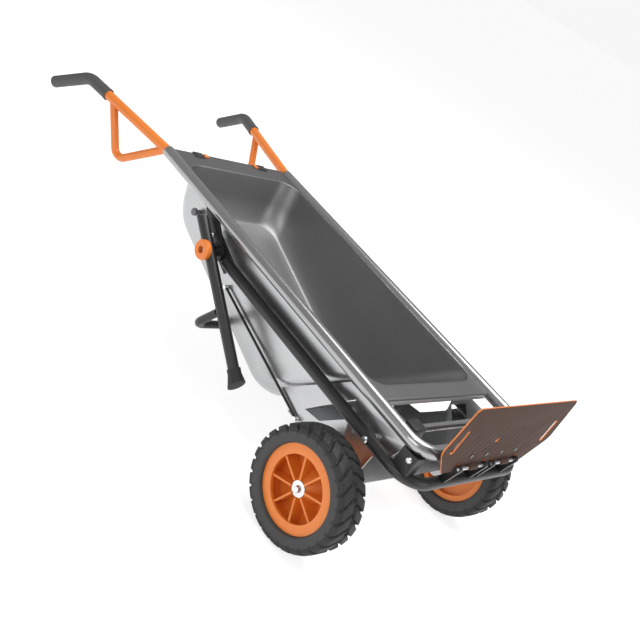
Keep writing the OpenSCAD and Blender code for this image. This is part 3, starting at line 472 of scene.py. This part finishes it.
# The grips: a dark rubber sleeve pushed over each handle end, with a collar at its mouth,
# shallow rings where the fingers close and a rounded cap.
grip_rubber = finish(
    "grip rubber",
    colour=(0.07, 0.07, 0.072), shade=(0.058, 0.058, 0.06), worn=(0.11, 0.11, 0.11),
    rough=0.6, rough_swing=0.08, metallic=0.0, coat=0.0, grain=(900.0, 900.0, 9.0), bump=0.00012,
)
GRIP_RADIUS, GRIP_SIDES, MOUTH_GAP = 0.0155, 48, 0.0001
RING_DEPTH, RING_PITCH, RING_SHARE = 0.0005, 0.008, 0.35
RINGS_FROM_END = (0.02, 0.1)
CAP_DOME, CAP_FLAT = 0.006, 0.05
COLLAR_LENGTH, SLEEVE_SHARE = 0.006, 0.965
for side, word in ((-1, "right"), (1, "left")):
    grip_path = rounded_path([[GRIP_START, 0, 0], *grip_line(GRIP_END)], GRIP_BEND_RADIUS, step=0.0015)
    grip_path = on_handle(grip_path, side)
    run = np.concatenate([[0], np.cumsum(np.linalg.norm(np.diff(grip_path, axis=0), axis=1))])
    left = run[-1] - run
    ringed = (left > RINGS_FROM_END[0]) * (left < RINGS_FROM_END[1])
    rings = RING_DEPTH * (np.abs(np.sin(np.pi * run / RING_PITCH)) < RING_SHARE) * ringed
    cap = np.sqrt(np.clip(1 - np.clip(1 - left / CAP_DOME, 0, 1) ** 2, CAP_FLAT, 1))
    collar = np.where(run < COLLAR_LENGTH, 1.0, SLEEVE_SHARE)
    grip_radius = GRIP_RADIUS * collar * cap - rings
    grid = tube_grid(grip_path, grip_radius, [0, 0, 1], sides=GRIP_SIDES, closed_ends=False)
    middle = grip_path[-1:].repeat(GRIP_SIDES, axis=0)[None]
    mouth = grip_path[:1] + (grid[:1] - grip_path[:1]) * (HANDLE_RADIUS + MOUTH_GAP) / GRIP_RADIUS
    sleeve = woven_mesh("grip", placed(np.concatenate([mouth, grid, middle])), wrap_v=True, crease=50)
    add_piece("grip_sleeve_" + word, sleeve, "frame", "rubber", ["grip_" + word], grip_rubber)

# The lower frame and what is bolted to it: black-coated round tube bent round the nose, flattened
# at its rear ends, with the leg hangers, nose blocks, axle brackets, saddle and brace rods.
black_coat = finish(
    "black powder coat",
    colour=(0.012, 0.012, 0.0125), shade=(0.009, 0.009, 0.0095), worn=(0.06, 0.06, 0.06),
    rough=0.4, rough_swing=0.05, metallic=0.0, coat=0.05, grain=(800.0, 800.0, 7.0), bump=0.00005,
)
dress(["lower_frame"], "frame", "black_paint", black_coat)
dress(
    [
        "leg_hanger_right", "leg_hanger_left", "nose_block_right", "nose_block_left",
        "cross_clamps", "hinge_lugs",
    ],
    "frame", "black_paint", black_coat, bevel=0.0006,
)
dress(
    ["axle_bracket_right", "axle_bracket_left", "saddle_plate"],
    "frame", "galvanised", bright_steel, bevel=0.0006,
)
dress(["brace_rod_right", "brace_rod_left"], "frame", "black_paint", black_coat)
black_plastic = finish(
    "black nylon",
    colour=(0.03, 0.03, 0.03), shade=(0.022, 0.022, 0.022), worn=(0.07, 0.07, 0.07),
    rough=0.45, rough_swing=0.06, metallic=0.0, coat=0.0, grain=(600.0, 600.0, 8.0), bump=0.00005,
)
dress(["rear_clips"], "frame", "black_plastic", black_plastic, bevel=0.0005)
dress(["clip_tabs"], "frame", "orange_paint", orange_coat, bevel=0.0005)

# Bolts, pins, studs and washers: zinc-plated steel with domed or turned heads. They hold
# the brackets and blocks, and the larger ones are the pivots of the legs and the toe plate.
zinc = finish(
    "bright zinc",
    colour=(0.75, 0.76, 0.77), shade=(0.66, 0.67, 0.68), worn=(0.9, 0.9, 0.9),
    rough=0.25, rough_swing=0.05, metallic=0.95, coat=0.0, grain=(500.0, 500.0, 20.0), bump=0.00003,
)
dress(
    [
        "pivot_bolts", "frame_end_bolts", "nose_bolts", "bracket_bolts", "axle_washers", "axle_bolts",
        "brace_studs", "hinge_pins",
    ],
    "frame", "zinc", zinc, bevel=0.0004,
)
stud_steel = finish(
    "dark zinc",
    colour=(0.16, 0.16, 0.165), shade=(0.12, 0.12, 0.125), worn=(0.35, 0.35, 0.35),
    rough=0.4, rough_swing=0.05, metallic=0.8, coat=0.0, grain=(500.0, 500.0, 20.0), bump=0.00003,
)
dress(["strap_studs"], "frame", "zinc", stud_steel, bevel=0.0006)
dress(["axle"], "frame", "zinc", zinc)

# The folding legs: two straight black tubes on the pivot bolts, joined by a bent hoop that is
# welded under them, each with a flared rubber foot.
LEG_PIVOT = np.array([0.300, 0, -0.066])
LEG_FOLD = np.radians(31)
RAIL_RADIUS, LEG_GAP, LEG_RADIUS = 0.0143, 0.002, 0.0127
LEG_HALF = RAIL_HALF + RAIL_RADIUS + LEG_GAP + LEG_RADIUS
HOOP_AT, HOOP_START, HOOP_DROP = 0.140, 0.0128, 0.096
HOOP_BEND, HOOP_RADIUS = 0.030, 0.0095


def on_leg(points):
    """Points (along the folded leg, across, square to the leg) turned down by the fold about the pivot."""
    along, across, off = np.asarray(points, float).T
    x = LEG_PIVOT[0] + along * np.cos(LEG_FOLD) + off * np.sin(LEG_FOLD)
    z = LEG_PIVOT[2] - along * np.sin(LEG_FOLD) + off * np.cos(LEG_FOLD)
    return np.column_stack([x, across, z])


dress(["leg_right", "leg_left"], "legs", "black_paint", black_coat)
hoop_corners = [
    [HOOP_AT, -LEG_HALF, -HOOP_START], [HOOP_AT, -LEG_HALF, -HOOP_DROP],
    [HOOP_AT, LEG_HALF, -HOOP_DROP], [HOOP_AT, LEG_HALF, -HOOP_START],
]
hoop_line = on_leg(rounded_path(hoop_corners, HOOP_BEND))
leg_way = on_leg([[1, 0, 0]])[0] - on_leg([[0, 0, 0]])[0]
hoop = woven_mesh("hoop", placed(tube_grid(hoop_line, HOOP_RADIUS, leg_way)), wrap_v=True)
add_piece("leg_hoop_tube", hoop, "legs", "black_paint", ["leg_hoop"], black_coat)
foot_rubber = finish(
    "foot rubber",
    colour=(0.018, 0.018, 0.0185), shade=(0.013, 0.013, 0.0135), worn=(0.05, 0.05, 0.05),
    rough=0.65, rough_swing=0.08, metallic=0.0, coat=0.0, grain=(900.0, 900.0, 9.0), bump=0.00015,
)
dress(["foot_right", "foot_left"], "legs", "rubber", foot_rubber, bevel=0.0012)

# The locking knobs: moulded orange rings that slide on the pivot bolts, each carrying the
# steel pin that locks its leg.
orange_plastic = finish(
    "orange nylon",
    colour=(0.74, 0.195, 0.022), shade=(0.69, 0.178, 0.018), worn=(0.85, 0.33, 0.1),
    rough=0.33, rough_swing=0.05, metallic=0.0, coat=0.15, grain=(600.0, 600.0, 9.0), bump=0.00003,
)
for word in ("right", "left"):
    dress(["knob_" + word], "knob_" + word, "orange_plastic", orange_plastic, bevel=0.0015)
    dress(["lock_pin_" + word], "knob_" + word, "zinc", zinc)

# The wheels: a moulded orange rim, dished round a closed web with thin spokes, turns on a white
# bushing inside a black rubber tyre with blocks across its tread. Washers hold it on the axle.
RIM_RADIUS, WHEEL_MID = 0.089, 0.2715
BLOCKS, BLOCK_LEAN, LEAN_WIDTH = 26, 0.9, 0.035
BLOCK_START, BLOCK_STOP = (0.05, 0.11), (0.80, 0.86)
TREAD_FROM, TREAD_DEPTH = (0.1085, 0.1125), 0.0062
MIDDLE_GROOVE, MIDDLE_HALF, MIDDLE_SHARE = (0.0022, 0.0040), 0.003, 0.65
SIDE_RUBBER_TO = 0.1105
rim_plastic = finish(
    "rim nylon",
    colour=(0.74, 0.195, 0.022), shade=(0.69, 0.178, 0.018), worn=(0.85, 0.33, 0.1),
    rough=0.4, rough_swing=0.04, metallic=0.0, coat=0.15, grain=(600.0, 600.0, 9.0), bump=0.00002,
)
white_plastic = finish(
    "white nylon",
    colour=(0.75, 0.75, 0.73), shade=(0.68, 0.68, 0.66), worn=(0.8, 0.8, 0.8),
    rough=0.4, rough_swing=0.05, metallic=0.0, coat=0.0, grain=(600.0, 600.0, 9.0), bump=0.00003,
)
tyre_rubber = finish(
    "tyre rubber",
    colour=(0.014, 0.014, 0.0145), shade=(0.01, 0.01, 0.0105), worn=(0.04, 0.04, 0.04),
    rough=0.62, rough_swing=0.08, metallic=0.0, coat=0.0, grain=(700.0, 700.0, 12.0), bump=0.0001,
)
side_rubber = finish(
    "tyre side rubber",
    colour=(0.04, 0.04, 0.041), shade=(0.034, 0.034, 0.035), worn=(0.07, 0.07, 0.07),
    rough=0.6, rough_swing=0.06, metallic=0.0, coat=0.0, grain=(700.0, 700.0, 12.0), bump=0.0001,
)


def soft_step(low, high, value):
    """0 below low, 1 above high, and a smooth cubic between."""
    share = np.clip((value - low) / (high - low), 0, 1)
    return share * share * (3 - 2 * share)


def tyre_grid(turns=780, sides=66):
    """The tyre as rings about Y: point (i, j) is (r cos a, side, r sin a) for turn a of i and place j on a
    profile from the inner bead over the wall and tread and back inside. r is the profile's radius less
    the grooves across the tread, staggered from side to side, and the shallower one round its middle."""
    inner = RIM_RADIUS - 0.0088
    profile = np.array(
        [
            [-0.0238, inner], [-0.0238, RIM_RADIUS + 0.0002], [-0.0305, RIM_RADIUS + 0.0003],
            [-0.0345, RIM_RADIUS + 0.003], [-0.0354, RIM_RADIUS + 0.008], [-0.0354, 0.111],
            [-0.0350, 0.1125], [-0.0340, 0.120], [-0.0300, 0.1242],
            [-0.0220, 0.1262], [-0.0110, 0.1268], [0.0, 0.1269],
        ]
    )
    profile = np.concatenate([profile, (profile * [-1, 1])[-2::-1]])
    run = np.concatenate([[0], np.cumsum(np.linalg.norm(np.diff(profile, axis=0), axis=1))])
    even = np.interp(np.linspace(0, 1, sides), np.linspace(0, 1, len(run)), run)
    even = np.unique(np.concatenate([even, run]))
    side, radius = np.interp(even, run, profile[:, 0]), np.interp(even, run, profile[:, 1])
    angle = 2 * np.pi * np.arange(turns) / turns
    stagger = np.where(side > MIDDLE_HALF, 0.5, np.where(side < -MIDDLE_HALF, 0.0, 0.25))
    lean = BLOCK_LEAN * np.abs(side)[None] / LEAN_WIDTH
    phase = (angle[:, None] / (2 * np.pi) * BLOCKS + stagger[None] + lean) % 1
    block = soft_step(*BLOCK_START, phase) * (1 - soft_step(*BLOCK_STOP, phase))
    tread = soft_step(*TREAD_FROM, radius)[None]
    middle = soft_step(*MIDDLE_GROOVE, np.abs(side))[None]
    depth = TREAD_DEPTH * tread * (1 - block * (1 - MIDDLE_SHARE + MIDDLE_SHARE * middle))
    radius = radius[None] - depth
    x, z = radius * np.cos(angle)[:, None], radius * np.sin(angle)[:, None]
    return np.stack([x, np.broadcast_to(side[None], radius.shape), z], -1)


tyre_points = tyre_grid()
for side, word in ((-1, "right"), (1, "left")):
    body = "wheel_" + word
    centre = AXLE_ON_RAILS + [0, side * WHEEL_MID, 0]
    tyre = woven_mesh("tyre", placed(tyre_points + centre), wrap_u=True, wrap_v=True, crease=38)
    add_piece("tyre_" + word + "_tread", tyre, body, "tyre", ["tyre_" + word], tyre_rubber, side_rubber)
    where = np.empty(len(tyre.polygons) * 3)
    tyre.polygons.foreach_get("center", where)
    where = where.reshape(-1, 3) - placed(centre[None])
    radial = np.linalg.norm(where[:, [0, 2]], axis=1)
    tyre.polygons.foreach_set("material_index", (radial < SIDE_RUBBER_TO).astype(np.int32))
    dress(["rim_" + word], body, "orange_plastic", rim_plastic, bevel=0.0007)
    dress(["bushing_" + word], body, "white_plastic", white_plastic)

# The toe plate: folded up at the nose on its hinge pins, cut from flat steel with an orange coat.
# Its face is painted dark brown as painted shade, and its cut edges show the orange. It has two
# strap slots, a hook hole and a band of plain slanted lines, evenly spaced.
# the face's dark brown is painted shade over the plate's orange coat; the orange along its edges is the
# coat's own colour
plate_face_painted_shade = finish(
    "bronze coat",
    colour=(0.082, 0.047, 0.036), shade=(0.07, 0.04, 0.031), worn=(0.3, 0.1, 0.035),
    rough=0.8, rough_swing=0.05, metallic=0.0, coat=0.0, grain=(500.0, 500.0, 5.0), bump=0.00003,
    wear=(0.001, 0.6),
)
PLATE_SHEET, EDGE_FACING = 0.003, 0.3
BAND_HEIGHT, BAND_DROP, BAND_HALF = 0.062, 0.122, 0.13
LINE_PITCH, LINE_SHARE, LINE_SLANT = 0.021, 0.13, 0.45
LINE_COLOUR = (0.02, 0.013, 0.01)
band_low = float(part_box("toe_plate")[1][2]) - BAND_DROP
cut_group, ins, outs = new_group("slanted cut lines", {"Depth": 1.0}, {"Mask": "NodeSocketFloat"})
cut_coords = cut_group.nodes.new("ShaderNodeTexCoord")
cut_axes = cut_group.nodes.new("ShaderNodeSeparateXYZ")
cut_group.links.new(cut_coords.outputs["Object"], cut_axes.inputs[0])
across, up = cut_axes.outputs["Y"], cut_axes.outputs["Z"]
leaned = math_node(cut_group, "SUBTRACT", across, math_node(cut_group, "MULTIPLY", up, LINE_SLANT))
pitch_share = math_node(cut_group, "FRACT", math_node(cut_group, "DIVIDE", leaned, LINE_PITCH), 0.0)
on_line = math_node(cut_group, "LESS_THAN", pitch_share, LINE_SHARE)
over = math_node(cut_group, "GREATER_THAN", up, band_low)
under = math_node(cut_group, "LESS_THAN", up, band_low + BAND_HEIGHT)
within = math_node(cut_group, "LESS_THAN", math_node(cut_group, "ABSOLUTE", across, 0.0), BAND_HALF)
in_band = math_node(cut_group, "MULTIPLY", math_node(cut_group, "MULTIPLY", over, under), within)
cut_mask = math_node(cut_group, "MULTIPLY", on_line, in_band)
cut_mask = math_node(cut_group, "MULTIPLY", cut_mask, ins.outputs["Depth"])
cut_group.links.new(cut_mask, outs.inputs["Mask"])
plate_shade_tree = plate_face_painted_shade.node_tree
plate_shade_shader = plate_shade_tree.nodes["Principled BSDF"]
plate_shade_shader.inputs["Specular IOR Level"].default_value = 0.25
cuts = plate_shade_tree.nodes.new("ShaderNodeGroup")
cuts.node_tree = cut_group
darker = plate_shade_tree.nodes.new("ShaderNodeMix")
darker.data_type = "RGBA"
darker.inputs["B"].default_value = (*LINE_COLOUR, 1)
plate_shade_tree.links.new(plate_shade_shader.inputs["Base Color"].links[0].from_socket, darker.inputs["A"])
plate_shade_tree.links.new(cuts.outputs["Mask"], darker.inputs["Factor"])
plate_shade_tree.links.new(darker.outputs["Result"], plate_shade_shader.inputs["Base Color"])
plate_mesh = smooth_copy("toe_plate", 0.0005)
add_piece("toe_plate_shown", plate_mesh, "toe_plate", "bronze_paint", ["toe_plate"], plate_face_painted_shade, orange_coat)
# faces on the plate's cut edges take the orange coat, its own colour; all other faces take the painted shade
facing = np.empty(len(plate_mesh.polygons) * 3)
plate_mesh.polygons.foreach_get("normal", facing)
level = facing.reshape(-1, 3) @ rail_turn
plate_mesh.polygons.foreach_get("center", facing)
places = (facing.reshape(-1, 3) - rail_shift) @ rail_turn
cut_edge = (np.abs(level[:, 0]) < EDGE_FACING) & (places[:, 0] < places[:, 0].min() + PLATE_SHEET)
plate_mesh.polygons.foreach_set("material_index", cut_edge.astype(np.int32))
dress(["plate_rivets"], "toe_plate", "zinc", stud_steel, bevel=0.0003)

# The plain pale floor, the soft studio light and the camera, which looks down along the cart
# from beside its nose.
FLOOR = 60.0
floor_corners = [(-FLOOR, -FLOOR, 0), (FLOOR, -FLOOR, 0), (FLOOR, FLOOR, 0), (-FLOOR, FLOOR, 0)]
floor_mesh = bpy.data.meshes.new("floor")
floor_mesh.from_pydata(floor_corners, [], [(0, 1, 2, 3)])
floor = bpy.data.objects.new("floor", floor_mesh)
bpy.context.collection.objects.link(floor)
floor_paint = bpy.data.materials.new("pale floor")
floor_paint.use_nodes = True
floor_shader = floor_paint.node_tree.nodes["Principled BSDF"]
floor_shader.inputs["Base Color"].default_value = (0.6, 0.6, 0.6, 1)
floor_shader.inputs["Roughness"].default_value = 0.9
floor_shader.inputs["Specular IOR Level"].default_value = 0.0
floor_shader.inputs["Emission Color"].default_value = (1, 1, 1, 1)
floor_shader.inputs["Emission Strength"].default_value = 0.7
floor_mesh.materials.append(floor_paint)

world = bpy.data.worlds.new("studio")
world.use_nodes = True
sky = world.node_tree
background = sky.nodes["Background"]
background.inputs["Color"].default_value = (0.42, 0.42, 0.42, 1)
backdrop = sky.nodes.new("ShaderNodeBackground")
backdrop.inputs["Color"].default_value = (0.93, 0.93, 0.93, 1)
seen = sky.nodes.new("ShaderNodeLightPath")
choice = sky.nodes.new("ShaderNodeMixShader")
sky.links.new(seen.outputs["Is Camera Ray"], choice.inputs[0])
sky.links.new(background.outputs[0], choice.inputs[1])
sky.links.new(backdrop.outputs[0], choice.inputs[2])
sky.links.new(choice.outputs[0], sky.nodes["World Output"].inputs["Surface"])
bpy.context.scene.world = world


def standing(right, up, away, place):
    """A 4 by 4 matrix whose columns are an object's right, up and backward directions, and its place."""
    return Matrix(np.vstack([np.column_stack([right, up, away, place]), [0, 0, 0, 1]]).tolist())


def soft_box(name, place, target, width, height, power):
    """A rectangular area light at place, in metres and watts, turned to face target."""
    light = bpy.data.lights.new(name, "AREA")
    light.shape = "RECTANGLE"
    light.size, light.size_y = width, height
    light.energy = power
    lamp = bpy.data.objects.new(name, light)
    away = np.array(place, float) - np.array(target, float)
    away /= np.linalg.norm(away)
    right = np.cross([0, 0, 1.0], away)
    right /= np.linalg.norm(right)
    lamp.matrix_world = standing(right, np.cross(away, right), away, place)
    bpy.context.collection.objects.link(lamp)


CART_MIDDLE = (0, 0, 0.3)
soft_box("top box", (0.3, 0.4, 3.2), CART_MIDDLE, width=2.6, height=2.6, power=95)
soft_box("side box", (1.0, -3.0, 1.6), CART_MIDDLE, width=2.4, height=1.6, power=28)
soft_box("nose box", (3.2, 0.8, 1.4), CART_MIDDLE, width=1.6, height=1.6, power=20)

# the camera's place and ways are given with the rails level, and are turned with the cart
CAMERA_PLACE = np.array([[1.5768, -1.6049, 0.7975]])
CAMERA_RIGHT = (0.5571, 0.6584, 0.5061)
CAMERA_DOWN = (0.6564, 0.0242, -0.754)
CAMERA_AHEAD = (-0.5087, 0.7522, -0.4187)
camera_data = bpy.data.cameras.new("camera")
camera_data.lens = 52.05
camera_data.sensor_width = 36
camera = bpy.data.objects.new("camera", camera_data)
ways = np.array([CAMERA_RIGHT, np.negative(CAMERA_DOWN), np.negative(CAMERA_AHEAD)]) @ rail_turn.T
camera.matrix_world = standing(*ways, placed(CAMERA_PLACE)[0])
bpy.context.collection.objects.link(camera)
bpy.context.scene.camera = camera
bpy.context.scene.view_settings.view_transform = "Standard"
